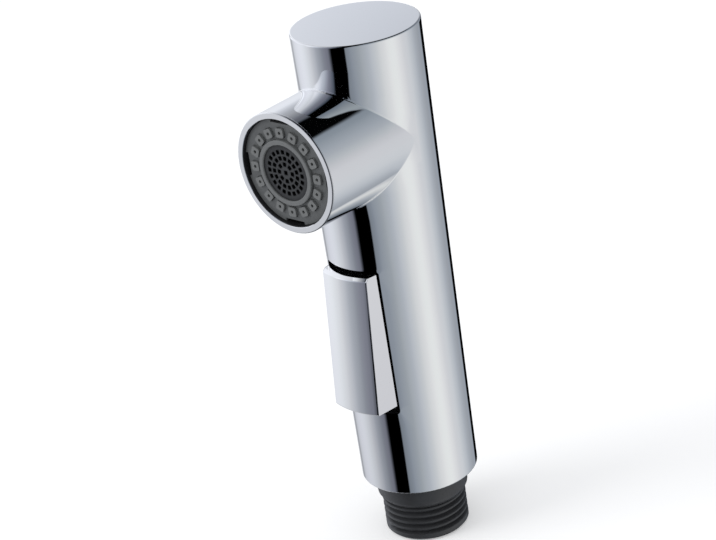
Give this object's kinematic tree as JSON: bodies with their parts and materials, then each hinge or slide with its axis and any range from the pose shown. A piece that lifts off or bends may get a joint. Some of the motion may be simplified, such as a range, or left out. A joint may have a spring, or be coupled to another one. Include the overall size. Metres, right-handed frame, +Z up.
{
  "type": "pull-out spray handset",
  "caption": "Straight chrome pull-out spray handset of a kitchen mixer tap, with a short round spray nozzle, a diverter lever paddle and a male hose thread.",
  "frame": {"origin": "centre of the hose joint's end face, in the mouth of the water inlet", "axes": "+Z up the casing's axis, away from the hose; -Y where the spray nozzle and the lever point; X is the lever pin's direction"},
  "size_m": [0.0306, 0.0446, 0.1332],
  "materials": {
    "chrome": "polished",
    "black_plastic": "moulded",
    "charcoal_plastic": "moulded",
    "steel": "drawn",
    "rubber": "moulded",
    "pale_plastic": "moulded",
    "brass": "turned",
    "grey_plastic": "moulded",
    "ring_plastic": "moulded",
    "grid_plastic": "moulded",
    "soft_grey": "moulded"
  },
  "bodies": {
    "handset": {"housing_shell": "chrome", "lever_cradle": "black_plastic", "lever_pin": "steel", "waterway_core": "black_plastic", "inlet_connector": "charcoal_plastic", "connector_o_ring": "rubber", "inlet_strainer": "steel", "check_valve_housing": "pale_plastic", "check_valve_o_ring": "rubber", "check_valve_cage": "pale_plastic", "check_valve_spring": "steel", "diverter_bush": "brass", "bush_o_ring": "rubber", "stem_o_ring": "rubber", "diverter_spring": "steel", "spray_carrier": "black_plastic", "stream_tube_o_ring": "rubber", "carrier_o_ring": "rubber", "jet_mat": "soft_grey", "spray_disc": "grey_plastic", "aerator_ring": "ring_plastic", "aerator_grid": "grid_plastic", "aerator_cup": "pale_plastic", "aerator_o_ring": "rubber", "aerator_diffuser": "pale_plastic", "aerator_screens": "steel"},
    "lever": {"lever_paddle": "chrome"},
    "diverter": {"diverter_plunger": "brass", "diverter_seal": "rubber"},
    "poppet": {"check_valve_poppet": "pale_plastic"}
  },
  "joints": [
    {"name": "lever_pivot", "type": "hinge", "parent": "handset", "child": "lever", "pos_m": [0, -0.0078, 0.066], "axis": [1, 0, 0], "range_deg": [0, 8], "stiffness_Nm_per_rad": 0.108, "springref_deg": -30.37},
    {"name": "diverter_slide", "type": "slide", "parent": "handset", "child": "diverter", "axis": [0, 1, 0], "range_m": [0, 0.00266], "deforming": ["diverter_spring"]},
    {"name": "check_valve_slide", "type": "slide", "parent": "handset", "child": "poppet", "axis": [0, 0, 1], "range_m": [0, 0.002], "stiffness_N_per_m": 20, "springref_m": -0.008, "deforming": ["check_valve_spring"]}
  ],
  "couplings": [
    {"joint": "diverter_slide", "follows": "lever_pivot", "m_per_rad": 0.019}
  ]
}
